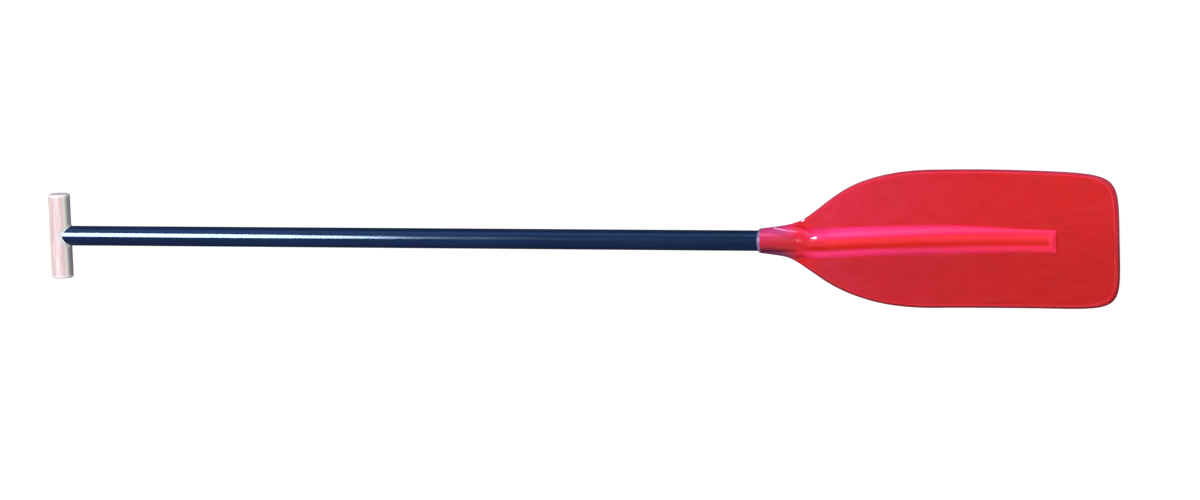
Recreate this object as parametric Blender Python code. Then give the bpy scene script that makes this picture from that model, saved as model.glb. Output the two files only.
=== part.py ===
"""Canoe paddle: wooden T-grip, sleeved aluminium shaft and a moulded laminate blade.

Metres, +Z up. Each piece is drawn in the shaft's own frame: the shaft's axis is X, with x = 0
on the axis of the crossbar, the blade on the +X side and its front face up. One empty carries
all of them and lays the paddle down as it rests, on its crossbar and the back of its spine.
"""

import math

import bmesh
import bpy
import numpy as np
from mathutils import Matrix, Vector

MM = 0.001

# Clearance that neighbouring pieces keep
CLEAR = 0.3 * MM

# Shaft: an aluminium tube in a dark plastic sleeve
SHAFT_DIAMETER = 29.0 * MM
SLEEVE_WALL = 1.2 * MM
TUBE_WALL = 1.4 * MM
SHAFT_VISIBLE = 1069.9 * MM  # crossbar axis to the mouth of the blade's socket
TUBE_IN_SOCKET = 53.6 * MM
PLUG_LENGTH = 40.0 * MM

# T-grip: a turned wooden crossbar on a spigot that is glued into the tube
GRIP_OVER_SHAFT = 3.0 * MM  # how much thicker than the shaft, so that the saddle closes
GRIP_LENGTH = 124.4 * MM
GRIP_END_ROUND = 3.2 * MM
SPIGOT_IN_TUBE = 58.0 * MM
SPIGOT_PAST_AXIS = 5.0 * MM
SPIGOT_END_BEVEL = 1.5 * MM
GRIP_FILLET = 2.6 * MM  # legs of the glue fillet round the saddle joint
GRIP_FILLET_HOLLOW = 0.38

# Blade: two laminate skins, their rim and the core of the spine
BLADE_LENGTH = 506.6 * MM  # socket mouth to tip
BLADE_WIDTH = 194.4 * MM
SKIN = 1.7 * MM
BOND_WALL = 0.8 * MM  # adhesive between the sleeve and the socket
NECK_LENGTH = 25.1 * MM
NECK_GROWTH = 3.3 * MM  # how much the neck widens to each side along its length
SHOULDER_END = 246.0 * MM  # socket mouth to the widest point
SHOULDER_HANDLE_NECK = 60.0 * MM
SHOULDER_HANDLE_SIDE = 152.0 * MM
SIDE_HANDLE = 80.0 * MM
CORNER_START = 97.0 * MM  # before the tip
CORNER_DROP = 1.3 * MM  # how much narrower each side is there
CORNER_HANDLE_SIDE = 96.0 * MM
CORNER_HANDLE_TIP = 73.7 * MM
TIP_FLAT = 34.6 * MM  # straight stretch across the tip
SPOON_DEPTH = 12.0 * MM  # how far the middle of the blade lies behind the shaft's axis
SPOON_TURNS = 0.8
BOW = 3.4 * MM  # sideways bow of the blade's centre line
BOW_AFTER_TUBE = 33.5 * MM  # where the bow starts, past the tube's end
BOW_PAST_TIP = 16.0 * MM
SHOULDER_LEAN = 3.0 * MM  # how far the shoulders lie to one side of the spine
SHOULDER_LEAN_RISE = 36.0 * MM
SHOULDER_LEAN_FALL = 80.0 * MM

# Spine: the tube's socket goes over into a rib that ends square, on both faces
RIB_WIDTH_START = 41.4 * MM
RIB_WIDTH_END = 31.4 * MM
RIB_TAPER_START = 250.0 * MM  # socket mouth to where the rib begins to narrow
RIB_SHIFT = 1.5 * MM  # how far the rib lies to one side of the blade's centre line
RIB_SHIFT_RUN = 20.0 * MM  # past the tube's end
RIB_LEAN_SHARE = 0.45  # of the shoulders' lean, which the rib has too
RIB_HEIGHT_END = 7.6 * MM  # above the blade's middle plane
RIB_BEFORE_TIP = 94.9 * MM
RIB_END_STEP = 8.0 * MM
RIB_FULLNESS = 1.2
RIB_CREST_RISE = 2.5 * MM  # how much the rib swells above the socket, past the tube's end
RIB_CREST_RUN = 64.0 * MM
RIB_FALL_POWER = 1.35
BLEND_START = 30.1 * MM
BLEND_LENGTH = 42.0 * MM
BLEND_RIB_SHARE = 0.8  # of the neck's half width, where the rib would be wider
NECK_FLANK_ANGLE = 26.0  # degrees up the round neck, where the rib's side begins

# Rim that closes the two skins
RIM_WIDTH = 2.2 * MM
RIM_TIP_WIDTH = 6.0 * MM
RIM_START = 58.1 * MM
RIM_RUN_IN = 25.0 * MM
RIM_START_SHARE = 0.4  # of its width, where it starts
RIM_SEAT_RUN = 10.0 * MM  # the skins draw in over this length to seat it
RIM_TIP_START = 42.0 * MM  # before the tip, where it grows broad
RIM_TIP_RUN = 29.4 * MM
RIM_NOSE_SHARE = 0.8  # of the blade's half thickness, for the round of its edge

# Clear resin bead where the shaft enters the socket
MOUTH_BEAD_LENGTH = 5.0 * MM
MOUTH_BEAD_EDGE = 0.5 * MM

# Facets round the turned pieces
SEGMENTS = 64
BOND_SEGMENTS = 48
FILLET_STEPS = 56
RIB_COLUMNS = 8
PLATE_COLUMNS = 4
RIM_SIDE_STEPS = 30
RIM_TIP_STEPS = 18

# Sizes that follow from those above
SHAFT_R = SHAFT_DIAMETER / 2
GRIP_R = (SHAFT_DIAMETER + GRIP_OVER_SHAFT) / 2
SLEEVE_BORE_R = SHAFT_R - SLEEVE_WALL
TUBE_R = SLEEVE_BORE_R - CLEAR
TUBE_BORE_R = TUBE_R - TUBE_WALL
SPIGOT_R = TUBE_BORE_R - CLEAR
BOND_BORE_R = SHAFT_R + CLEAR
BOND_R = BOND_BORE_R + BOND_WALL
SOCKET_BORE_R = BOND_R + CLEAR
SOCKET_R = SOCKET_BORE_R + SKIN
PLATE = SKIN + CLEAR / 2  # half the blade's thickness beside the rib
SHAFT_END = SHAFT_VISIBLE + TUBE_IN_SOCKET
RIB_END = BLADE_LENGTH - RIB_BEFORE_TIP
RIB_CREST = TUBE_IN_SOCKET + RIB_CREST_RUN
BOW_START = TUBE_IN_SOCKET + BOW_AFTER_TUBE


def smooth(t):
    t = np.clip(t, 0.0, 1.0)
    return t * t * (3 - 2 * t)


def bezier(p0, p1, p2, p3, count):
    t = np.linspace(0.0, 1.0, count)[:, None]
    return (
        (1 - t) ** 3 * np.array(p0)
        + 3 * (1 - t) ** 2 * t * np.array(p1)
        + 3 * (1 - t) * t**2 * np.array(p2)
        + t**3 * np.array(p3)
    )


def outline_half():
    """The blade's edge on one side, from the socket's mouth to the tip, as (distance, half width)."""
    half = BLADE_WIDTH / 2
    neck = SOCKET_R + NECK_GROWTH
    slope = NECK_GROWTH / NECK_LENGTH
    corner = BLADE_LENGTH - CORNER_START
    corner_half = half - CORNER_DROP
    fall = 2 * CORNER_DROP / (corner - SHOULDER_END)
    neck_line = np.linspace((0.0, SOCKET_R), (NECK_LENGTH, neck), 12)
    shoulder = bezier(
        (NECK_LENGTH, neck),
        (NECK_LENGTH + SHOULDER_HANDLE_NECK, neck + slope * SHOULDER_HANDLE_NECK),
        (SHOULDER_END - SHOULDER_HANDLE_SIDE, half),
        (SHOULDER_END, half),
        90,
    )
    side = bezier(
        (SHOULDER_END, half),
        (SHOULDER_END + SIDE_HANDLE, half),
        (corner - SIDE_HANDLE, corner_half + fall * SIDE_HANDLE),
        (corner, corner_half),
        60,
    )
    tip = bezier(
        (corner, corner_half),
        (corner + CORNER_HANDLE_SIDE, corner_half - fall * CORNER_HANDLE_SIDE),
        (BLADE_LENGTH, TIP_FLAT / 2 + CORNER_HANDLE_TIP),
        (BLADE_LENGTH, TIP_FLAT / 2),
        120,
    )
    return np.concatenate([neck_line, shoulder[1:], side[1:], tip[1:]])


OUTLINE = outline_half()


def rim_width(d):
    """Width of the rim at a distance from the mouth: thin along the sides, broad at the tip."""
    run_in = RIM_START_SHARE + (1 - RIM_START_SHARE) * smooth((d - RIM_START) / RIM_RUN_IN)
    tip = smooth((d - (BLADE_LENGTH - RIM_TIP_START)) / RIM_TIP_RUN)
    return RIM_WIDTH * run_in + (RIM_TIP_WIDTH - RIM_WIDTH) * tip


def outward(points):
    """Unit normals of the half outline, away from the blade."""
    along = np.gradient(points, axis=0)
    along /= np.linalg.norm(along, axis=1)[:, None]
    return np.stack([-along[:, 1], along[:, 0]], axis=1)


def skin_edge():
    """The skins' edge: the outline, drawn in by the rim and its clearance."""
    d = OUTLINE[:, 0]
    draw_in = (rim_width(d) + CLEAR) * smooth((d - RIM_START) / RIM_SEAT_RUN + 1.0)
    return OUTLINE - outward(OUTLINE) * draw_in[:, None]


SKIN_EDGE = skin_edge()
SKIN_LENGTH = BLADE_LENGTH - rim_width(BLADE_LENGTH) - CLEAR


def bow(d):
    reach = BLADE_LENGTH + BOW_PAST_TIP - BOW_START
    return BOW * np.sin(math.pi * np.clip((d - BOW_START) / reach, 0.0, 1.0))


def lean(d):
    """Sideways shift of the blade's edges near its shoulders, beside the spine."""
    rise = smooth((d - BLEND_START) / SHOULDER_LEAN_RISE)
    fall = smooth((d - BLEND_START - SHOULDER_LEAN_RISE) / SHOULDER_LEAN_FALL)
    return -SHOULDER_LEAN * rise * (1 - fall)


def rib_shift(d):
    """Sideways shift of the rib, past the tube's end."""
    away = smooth((d - TUBE_IN_SOCKET) / RIB_SHIFT_RUN)
    return away * (RIB_LEAN_SHARE * lean(d) - RIB_SHIFT)


def spoon(d):
    t = np.clip((d - TUBE_IN_SOCKET) / (BLADE_LENGTH - TUBE_IN_SOCKET), 0.0, 1.0)
    return -SPOON_DEPTH * (1 - np.cos(2 * math.pi * SPOON_TURNS * t)) / 2


def place(d, y, z):
    """A point of the blade, from its distance, its offset from the centre line and its height."""
    return (SHAFT_VISIBLE + d, float(y + bow(d)), float(z + spoon(d)))


def rib_height(d):
    swell = np.clip((d - TUBE_IN_SOCKET) / RIB_CREST_RUN, 0.0, 1.0)
    crest = SOCKET_R + RIB_CREST_RISE * np.sin(math.pi / 2 * swell)
    fall = np.clip((d - RIB_CREST) / (RIB_END - RIB_CREST), 0.0, 1.0) ** RIB_FALL_POWER
    height = crest + (RIB_HEIGHT_END - crest) * fall
    return PLATE + (height - PLATE) * np.clip((RIB_END + RIB_END_STEP - d) / RIB_END_STEP, 0.0, 1.0)


def rib_half_width(d):
    taper = smooth((d - RIB_TAPER_START) / (RIB_END - RIB_TAPER_START))
    half = (RIB_WIDTH_START + (RIB_WIDTH_END - RIB_WIDTH_START) * taper) / 2
    return float(min(half, BLEND_RIB_SHARE * half_width(d)))


def half_width(d):
    return float(np.interp(d, SKIN_EDGE[:, 0], SKIN_EDGE[:, 1]))


def rib_angles():
    return np.linspace(0.0, math.pi / 2, RIB_COLUMNS + 1)


def section(d, inner):
    """Half of one skin's section at d, from the crown to the edge, as offsets and heights."""
    wall = SKIN if inner else 0.0
    seam = CLEAR / 2
    blend = float(smooth((d - BLEND_START) / BLEND_LENGTH))
    width = half_width(d)
    height = rib_height(d)
    # Round neck: an ellipse that is all socket
    turn = np.concatenate(
        [
            np.linspace(90.0, NECK_FLANK_ANGLE, RIB_COLUMNS + 1),
            np.linspace(NECK_FLANK_ANGLE, 0.0, PLATE_COLUMNS + 1)[1:],
        ]
    )
    turn = np.radians(turn)
    neck_y = (width - wall) * np.cos(turn)
    neck_z = np.maximum((height - wall) * np.sin(turn), seam)
    # Blade: a rounded rib on a thin plate
    rib = rib_half_width(d) - wall
    plate = seam if inner else PLATE
    crown = max(height - wall, plate)
    angle = rib_angles()
    rib_y = rib * np.sin(angle)
    rib_z = plate + (crown - plate) * np.maximum(np.cos(angle), 0.0) ** RIB_FULLNESS
    flat_y = np.linspace(rib, width, PLATE_COLUMNS + 1)[1:]
    blade_y = np.concatenate([rib_y, flat_y])
    blade_z = np.concatenate([rib_z, np.full(PLATE_COLUMNS, plate)])
    return (1 - blend) * neck_y + blend * blade_y, (1 - blend) * neck_z + blend * blade_z


def rows():
    """Distances of the skins' sections: close together where the form turns."""
    neck = np.linspace(0.0, BLEND_START, 4)
    blend = np.linspace(BLEND_START, BLEND_START + BLEND_LENGTH, 8)
    shoulder = np.linspace(BLEND_START + BLEND_LENGTH, SHOULDER_END, 12)
    middle = np.linspace(SHOULDER_END, RIB_END, 7)
    step = np.array([RIB_END + RIB_END_STEP / 2, RIB_END + RIB_END_STEP])
    rest = SKIN_LENGTH - (RIB_END + RIB_END_STEP)
    turn = np.linspace(0.0, math.pi / 2, 12)
    corner = RIB_END + RIB_END_STEP + rest * np.sin(turn)
    parts = [neck, blend[1:], shoulder[1:], middle[1:], step, corner[1:]]
    return np.concatenate(parts)


def material(name, colour, roughness, metallic=0.0):
    made = bpy.data.materials.new(name)
    made.use_nodes = True
    shader = made.node_tree.nodes["Principled BSDF"]
    shader.inputs["Base Color"].default_value = (*colour, 1.0)
    shader.inputs["Roughness"].default_value = roughness
    shader.inputs["Metallic"].default_value = metallic
    made.diffuse_color = (*colour, 1.0)
    return made


def add(name, data, made, parent, sharp=35.0):
    """One named object from a mesh, shaded smooth and carried by the empty."""
    piece = bpy.data.objects.new(name, data)
    bpy.context.scene.collection.objects.link(piece)
    piece.parent = parent
    if made is not None:
        data.materials.append(made)
    data.shade_smooth()
    data.set_sharp_from_angle(angle=math.radians(sharp))
    return piece


def mesh_from(name, points, faces):
    data = bpy.data.meshes.new(name)
    data.from_pydata(points, [], faces)
    shape = bmesh.new()
    shape.from_mesh(data)
    bmesh.ops.recalc_face_normals(shape, faces=shape.faces)
    shape.to_mesh(data)
    shape.free()
    return data


def turned(name, profile, closed, axis="X", offset=0.0, segments=SEGMENTS):
    """A mesh turned from (along, radius) points: about X or Y. A closed profile makes a ring."""
    shape = bmesh.new()
    ring = [shape.verts.new((along, 0.0, radius)) for along, radius in profile]
    pairs = list(zip(ring, ring[1:])) + ([(ring[-1], ring[0])] if closed else [])
    edges = [shape.edges.new(pair) for pair in pairs]
    bmesh.ops.rotate(
        shape, verts=ring, cent=(0, 0, 0), matrix=Matrix.Rotation(offset, 3, "X")
    )
    bmesh.ops.spin(
        shape,
        geom=ring + edges,
        cent=(0, 0, 0),
        axis=(1, 0, 0),
        angle=2 * math.pi,
        steps=segments,
        use_merge=True,
    )
    bmesh.ops.remove_doubles(shape, verts=shape.verts, dist=0.001 * MM)
    if axis == "Y":
        bmesh.ops.rotate(
            shape, verts=shape.verts, cent=(0, 0, 0), matrix=Matrix.Rotation(math.pi / 2, 3, "Z")
        )
    bmesh.ops.recalc_face_normals(shape, faces=shape.faces)
    data = bpy.data.meshes.new(name)
    shape.to_mesh(data)
    shape.free()
    return data


def bored(start, end, outer, bore):
    """Closed profile of a plain tube."""
    return [(start, bore), (start, outer), (end, outer), (end, bore)]


def rod(start, end, radius, bevel):
    """Open profile of a solid rod with bevelled ends, from axis to axis."""
    return [
        (start, 0.0),
        (start, radius - bevel),
        (start + bevel, radius),
        (end - bevel, radius),
        (end, radius - bevel),
        (end, 0.0),
    ]


def cutter(name, data, parent):
    tool = add(name, data, None, parent)
    tool.hide_render = True
    tool.display_type = "WIRE"
    return tool


def cut(piece, tool):
    modifier = piece.modifiers.new(tool.name, "BOOLEAN")
    modifier.operation = "DIFFERENCE"
    modifier.solver = "EXACT"
    modifier.object = tool


def make_skin(name, side):
    """One laminate skin: an outer and an inner loft, closed round their edge."""
    points, faces = [], []
    distances = rows()
    columns = 2 * (RIB_COLUMNS + PLATE_COLUMNS) + 1
    plate = np.linspace(0.0, 1.0, PLATE_COLUMNS + 1)
    beside = np.concatenate([plate[:0:-1], np.zeros(2 * RIB_COLUMNS + 1), plate[1:]])
    for inner in (False, True):
        for d in distances:
            offset, height = section(d, inner)
            shift = rib_shift(d) + (lean(d) - rib_shift(d)) * beside
            across = np.concatenate([-offset[:0:-1], offset]) + shift
            up = np.concatenate([height[:0:-1], height])
            points += [place(d, y, side * z) for y, z in zip(across, up)]
    count = len(distances)
    layer = count * columns

    def at(level, row, column):
        return level * layer + row * columns + column

    for row in range(count - 1):
        for column in range(columns - 1):
            quad = [
                at(0, row, column),
                at(0, row + 1, column),
                at(0, row + 1, column + 1),
                at(0, row, column + 1),
            ]
            faces.append(quad)
            faces.append([layer + i for i in reversed(quad)])
        for column in (0, columns - 1):
            faces.append(
                [
                    at(0, row, column),
                    at(1, row, column),
                    at(1, row + 1, column),
                    at(0, row + 1, column),
                ]
            )
    for column in range(columns - 1):
        for row in (0, count - 1):
            faces.append(
                [
                    at(0, row, column),
                    at(0, row, column + 1),
                    at(1, row, column + 1),
                    at(1, row, column),
                ]
            )
    return mesh_from(name, points, faces)


def make_core(name):
    """The light wooden core that fills the spine between the tube's end and the rib's square end."""
    start, end = TUBE_IN_SOCKET + CLEAR, RIB_END - CLEAR
    shrink = SKIN + CLEAR
    angle = rib_angles()
    points, rings = [], []
    for d in [start, *(row for row in rows() if start < row < end), end]:
        rib = rib_half_width(d) - shrink
        crown = rib_height(d) - shrink
        y = rib * np.sin(angle)
        z = crown * np.maximum(np.cos(angle), 0.0) ** RIB_FULLNESS
        shift = rib_shift(d)
        ring = list(zip(y, z))
        ring += [(a, -b) for a, b in reversed(ring[:-1])]
        ring += [(-a, b) for a, b in reversed(ring[1:-1])]
        rings.append(range(len(points), len(points) + len(ring)))
        points += [place(d, a + shift, b) for a, b in ring]
    faces = [list(rings[0]), list(rings[-1])]
    for first, second in zip(rings, rings[1:]):
        size = len(first)
        for i in range(size):
            j = (i + 1) % size
            faces.append([first[i], first[j], second[j], second[i]])
    return mesh_from(name, points, faces)


def rim_stations():
    """Points of the half outline that the rim is swept through, close together at the corner."""
    step = np.hypot(*np.diff(OUTLINE, axis=0).T)
    length = np.concatenate([[0.0], np.cumsum(step)])
    start = float(np.interp(RIM_START, OUTLINE[:, 0], length))
    bend = float(np.interp(BLADE_LENGTH - CORNER_START, OUTLINE[:, 0], length))
    side = np.linspace(start, bend, RIM_SIDE_STEPS)
    along = np.concatenate([side, np.linspace(bend, length[-1], RIM_TIP_STEPS)[1:]])
    normal = outward(OUTLINE)
    keep = [np.interp(along, length, line) for line in (*OUTLINE.T, *normal.T)]
    d, half, nd, ny = keep
    size = np.hypot(nd, ny)
    return list(zip(d, half, nd / size, ny / size))


def make_rim(name):
    """The rim: a D-shaped bead swept round the blade's edge, broad across the tip."""
    left = rim_stations()
    right = [(d, -half, nd, -ny) for d, half, nd, ny in reversed(left)]
    points, rings = [], []
    for d, y, nd, ny in left + right:
        width = float(rim_width(d))
        nose = RIM_NOSE_SHARE * min(width, PLATE)
        round_edge = [
            (nose * (1 - math.sin(a)), PLATE * math.cos(a)) for a in np.linspace(0.0, math.pi, 5)
        ]
        profile = [(width, PLATE)] + round_edge + [(width, -PLATE)]
        rings.append(range(len(points), len(points) + len(profile)))
        points += [
            (
                SHAFT_VISIBLE + d - nd * inward,
                float(y - ny * inward + bow(d) + lean(d)),
                float(z + spoon(d)),
            )
            for inward, z in profile
        ]
    faces = [list(rings[0]), list(rings[-1])]
    for first, second in zip(rings, rings[1:]):
        size = len(first)
        for i in range(size):
            j = (i + 1) % size
            faces.append([first[i], first[j], second[j], second[i]])
    return mesh_from(name, points, faces)


def make_grip_fillet(name):
    """A fillet of clear glue in the corner that the sleeve makes with the crossbar."""
    shaft_r, grip_r = SHAFT_R + CLEAR, GRIP_R + CLEAR
    points, rings = [], []
    for i in range(FILLET_STEPS):
        angle = 2 * math.pi * (i + 0.5) / FILLET_STEPS
        off_shaft = np.array([0.0, math.cos(angle), math.sin(angle)])
        z = shaft_r * off_shaft[2]
        corner = np.array([math.sqrt(grip_r**2 - z**2), shaft_r * off_shaft[1], z])
        off_grip = np.array([corner[0], 0.0, z]) / grip_r
        along = np.cross(off_shaft, off_grip)
        along /= np.linalg.norm(along)
        leg_shaft = np.cross(along, off_shaft)
        leg_shaft *= math.copysign(GRIP_FILLET, leg_shaft @ off_grip)
        leg_grip = np.cross(along, off_grip)
        leg_grip *= math.copysign(GRIP_FILLET, leg_grip @ off_shaft)
        ring = [
            corner,
            corner + leg_shaft,
            corner + GRIP_FILLET_HOLLOW * (leg_shaft + leg_grip),
            corner + leg_grip,
        ]
        rings.append(range(len(points), len(points) + len(ring)))
        points += [tuple(map(float, point)) for point in ring]
    faces = []
    for first, second in zip(rings, rings[1:] + rings[:1]):
        for i in range(4):
            j = (i + 1) % 4
            faces.append([first[i], first[j], second[j], second[i]])
    return mesh_from(name, points, faces)


def world_points(pieces):
    bpy.context.view_layer.update()
    graph = bpy.context.evaluated_depsgraph_get()
    found = []
    for piece in pieces:
        evaluated = piece.evaluated_get(graph)
        data = evaluated.to_mesh()
        found += [evaluated.matrix_world @ v.co for v in data.vertices]
        evaluated.to_mesh_clear()
    return np.array(found)


def lay_down(base, pieces):
    """Tilt and set the paddle so that it rests on Z = 0, with its box centred on the origin."""
    tilt = 0.0
    for _ in range(3):
        points = world_points(pieces)
        near = points[points[:, 0] < points[:, 0].min() + 2 * GRIP_R]
        foot = near[near[:, 2].argmin()]
        far = points[points[:, 0] > foot[0] + SHAFT_VISIBLE / 2]
        tilt += math.atan(((far[:, 2] - foot[2]) / (far[:, 0] - foot[0])).min())
        base.rotation_euler = (0.0, tilt, 0.0)
    points = world_points(pieces)
    low, high = points.min(axis=0), points.max(axis=0)
    middle = (low + high) / 2
    base.location = base.location - Vector((middle[0], middle[1], low[2]))


def main():
    for old in list(bpy.data.objects):
        bpy.data.objects.remove(old, do_unlink=True)

    wood = material("grip_wood", (0.83, 0.68, 0.62), 0.38)
    spigot_wood = material("spigot_wood", (0.72, 0.55, 0.42), 0.55)
    glue = material("clear_glue", (0.86, 0.86, 0.83), 0.2)
    aluminium = material("aluminium", (0.77, 0.78, 0.79), 0.35, 1.0)
    sleeve = material("navy_sleeve", (0.016, 0.032, 0.085), 0.22)
    cork = material("plug_cork", (0.56, 0.40, 0.26), 0.85)
    resin = material("bonding_resin", (0.62, 0.55, 0.42), 0.4)
    laminate = material("red_laminate", (0.55, 0.028, 0.04), 0.22)
    core_wood = material("core_wood", (0.80, 0.66, 0.46), 0.7)
    rim_resin = material("rim_resin", (0.36, 0.016, 0.022), 0.3)

    base = bpy.data.objects.new("paddle", None)
    bpy.context.scene.collection.objects.link(base)

    # Crossbar: turned about Y, ends rounded, a flat facet under it, bored for the spigot
    half = GRIP_LENGTH / 2
    bend = [math.radians(90 * i / 4) for i in range(5)]
    end = [
        (half - GRIP_END_ROUND * (1 - math.sin(a)), GRIP_R - GRIP_END_ROUND * (1 - math.cos(a)))
        for a in bend
    ]
    profile = [(-half, 0.0)] + [(-a, r) for a, r in reversed(end)] + end + [(half, 0.0)]
    bar_mesh = turned("grip_bar", profile, False, "Y", math.pi / SEGMENTS)
    bar = add("grip_bar", bar_mesh, wood, base)
    bore = rod(-SPIGOT_PAST_AXIS - CLEAR, 2 * GRIP_R, SPIGOT_R + CLEAR, SPIGOT_END_BEVEL)
    cut(bar, cutter("grip_bore_cutter", turned("grip_bore", bore, False), base))

    # Spigot that ties the crossbar to the tube
    dowel = rod(-SPIGOT_PAST_AXIS, GRIP_R + SPIGOT_IN_TUBE, SPIGOT_R, SPIGOT_END_BEVEL)
    add("grip_dowel", turned("grip_dowel", dowel, False, segments=BOND_SEGMENTS), spigot_wood, base)

    # Tube and sleeve, both cut to a saddle over the crossbar
    tube = turned("shaft_tube", bored(0.0, SHAFT_END, TUBE_R, TUBE_BORE_R), True)
    tube = add("shaft_tube", tube, aluminium, base)
    jacket = turned("shaft_sleeve", bored(0.0, SHAFT_END, SHAFT_R, SLEEVE_BORE_R), True)
    jacket = add("shaft_sleeve", jacket, sleeve, base)
    reach = SHAFT_DIAMETER
    block = [(-reach, 0.0), (-reach, GRIP_R + CLEAR), (reach, GRIP_R + CLEAR), (reach, 0.0)]
    saddle = turned("saddle", block, False, "Y", math.pi / SEGMENTS)
    saddle = cutter("saddle_cutter", saddle, base)
    cut(tube, saddle)
    cut(jacket, saddle)
    add("grip_glue_fillet", make_grip_fillet("grip_glue_fillet"), glue, base)

    # Cork plug that keeps water out of the tube's blade end
    plug = rod(SHAFT_END - PLUG_LENGTH, SHAFT_END, SPIGOT_R, SPIGOT_END_BEVEL)
    add("tube_plug", turned("tube_plug", plug, False, segments=BOND_SEGMENTS), cork, base)

    # Adhesive in the socket and the clear bead at its mouth
    bond = bored(SHAFT_VISIBLE, SHAFT_END, BOND_R, BOND_BORE_R)
    add("socket_bond", turned("socket_bond", bond, True, segments=BOND_SEGMENTS), resin, base)
    lip = SHAFT_VISIBLE - CLEAR
    rise = SOCKET_R - BOND_BORE_R - MOUTH_BEAD_EDGE
    crest = [
        (
            lip - MOUTH_BEAD_LENGTH * math.cos(a),
            BOND_BORE_R + MOUTH_BEAD_EDGE + rise * math.sin(a),
        )
        for a in np.linspace(0.0, math.pi / 2, 6)
    ]
    bead = [(lip, BOND_BORE_R), (lip - MOUTH_BEAD_LENGTH, BOND_BORE_R)] + crest
    add("neck_bead", turned("neck_bead", bead, True, segments=BOND_SEGMENTS), glue, base)

    # Blade: two skins on one middle surface, the spine's core between them, and the rim
    add("blade_front_skin", make_skin("blade_front_skin", 1), laminate, base, 40.0)
    add("blade_back_skin", make_skin("blade_back_skin", -1), laminate, base, 40.0)
    add("spine_core", make_core("spine_core"), core_wood, base)
    add("blade_rim", make_rim("blade_rim"), rim_resin, base, 50.0)

    pieces = [piece for piece in bpy.data.objects if piece.parent and not piece.hide_render]
    lay_down(base, pieces)
    bpy.context.view_layer.update()


main()
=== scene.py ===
"""Looks of the canoe paddle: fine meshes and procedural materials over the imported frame.

Every piece is drawn in the shaft's own frame, as the solids are: X is the shaft's axis, x = 0 lies on
the crossbar's axis, the blade points to +X and its front face looks up. BASE lays them in the row frame.
"""

import math

import bmesh
import bpy
import numpy as np
from mathutils import Euler, Matrix, Vector, noise


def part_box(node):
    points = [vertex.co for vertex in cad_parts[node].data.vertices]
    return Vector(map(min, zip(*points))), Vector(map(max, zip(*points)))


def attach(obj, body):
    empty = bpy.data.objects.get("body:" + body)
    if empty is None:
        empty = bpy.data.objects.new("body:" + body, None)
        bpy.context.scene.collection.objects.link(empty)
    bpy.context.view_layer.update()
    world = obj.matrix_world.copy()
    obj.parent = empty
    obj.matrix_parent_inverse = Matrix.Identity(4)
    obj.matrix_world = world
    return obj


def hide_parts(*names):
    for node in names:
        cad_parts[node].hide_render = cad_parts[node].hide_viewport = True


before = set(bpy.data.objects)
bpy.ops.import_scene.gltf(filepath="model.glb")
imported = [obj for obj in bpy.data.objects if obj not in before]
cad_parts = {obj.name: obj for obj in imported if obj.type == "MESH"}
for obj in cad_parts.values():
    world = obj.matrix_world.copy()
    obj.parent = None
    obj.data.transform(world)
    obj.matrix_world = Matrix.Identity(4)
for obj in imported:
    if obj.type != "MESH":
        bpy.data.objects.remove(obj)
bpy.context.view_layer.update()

MM = 0.001

# Sizes of the solids, repeated here for the fine meshes
SHAFT_DIAMETER = 29.0 * MM
SLEEVE_WALL = 1.2 * MM
CLEAR = 0.3 * MM
BOND_WALL = 0.8 * MM
SKIN = 1.7 * MM
SHAFT_VISIBLE = 1069.9 * MM
TUBE_IN_SOCKET = 53.6 * MM
GRIP_OVER_SHAFT = 3.0 * MM
GRIP_LENGTH = 124.4 * MM
GRIP_END_ROUND = 3.2 * MM
SPIGOT_PAST_AXIS = 5.0 * MM
BLADE_LENGTH = 506.6 * MM
BLADE_WIDTH = 194.4 * MM
NECK_LENGTH = 25.1 * MM
NECK_GROWTH = 3.3 * MM
SHOULDER_END = 246.0 * MM
SHOULDER_HANDLE_NECK = 60.0 * MM
SHOULDER_HANDLE_SIDE = 152.0 * MM
SIDE_HANDLE = 80.0 * MM
CORNER_START = 97.0 * MM
CORNER_DROP = 1.3 * MM
CORNER_HANDLE_SIDE = 96.0 * MM
CORNER_HANDLE_TIP = 73.7 * MM
TIP_FLAT = 34.6 * MM
SPOON_DEPTH = 12.0 * MM
SPOON_TURNS = 0.8
BOW = 3.4 * MM
BOW_AFTER_TUBE = 33.5 * MM
BOW_PAST_TIP = 16.0 * MM
SHOULDER_LEAN = 3.0 * MM
SHOULDER_LEAN_RISE = 36.0 * MM
SHOULDER_LEAN_FALL = 80.0 * MM
RIB_WIDTH_START = 41.4 * MM
RIB_WIDTH_END = 31.4 * MM
RIB_TAPER_START = 250.0 * MM
RIB_SHIFT = 1.5 * MM
RIB_SHIFT_RUN = 20.0 * MM
RIB_LEAN_SHARE = 0.45
RIB_HEIGHT_END = 7.6 * MM
RIB_BEFORE_TIP = 94.9 * MM
RIB_END_STEP = 8.0 * MM
RIB_FULLNESS = 1.2
RIB_CREST_RISE = 2.5 * MM
RIB_CREST_RUN = 64.0 * MM
RIB_FALL_POWER = 1.35
BLEND_START = 30.1 * MM
BLEND_LENGTH = 42.0 * MM
BLEND_RIB_SHARE = 0.8
NECK_FLANK_ANGLE = 26.0
RIM_WIDTH = 2.2 * MM
RIM_TIP_WIDTH = 6.0 * MM
RIM_START = 58.1 * MM
RIM_RUN_IN = 25.0 * MM
RIM_START_SHARE = 0.4
RIM_SEAT_RUN = 10.0 * MM
RIM_TIP_START = 42.0 * MM
RIM_TIP_RUN = 29.4 * MM
RIM_NOSE_SHARE = 0.8
MOUTH_BEAD_LENGTH = 5.0 * MM

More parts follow.
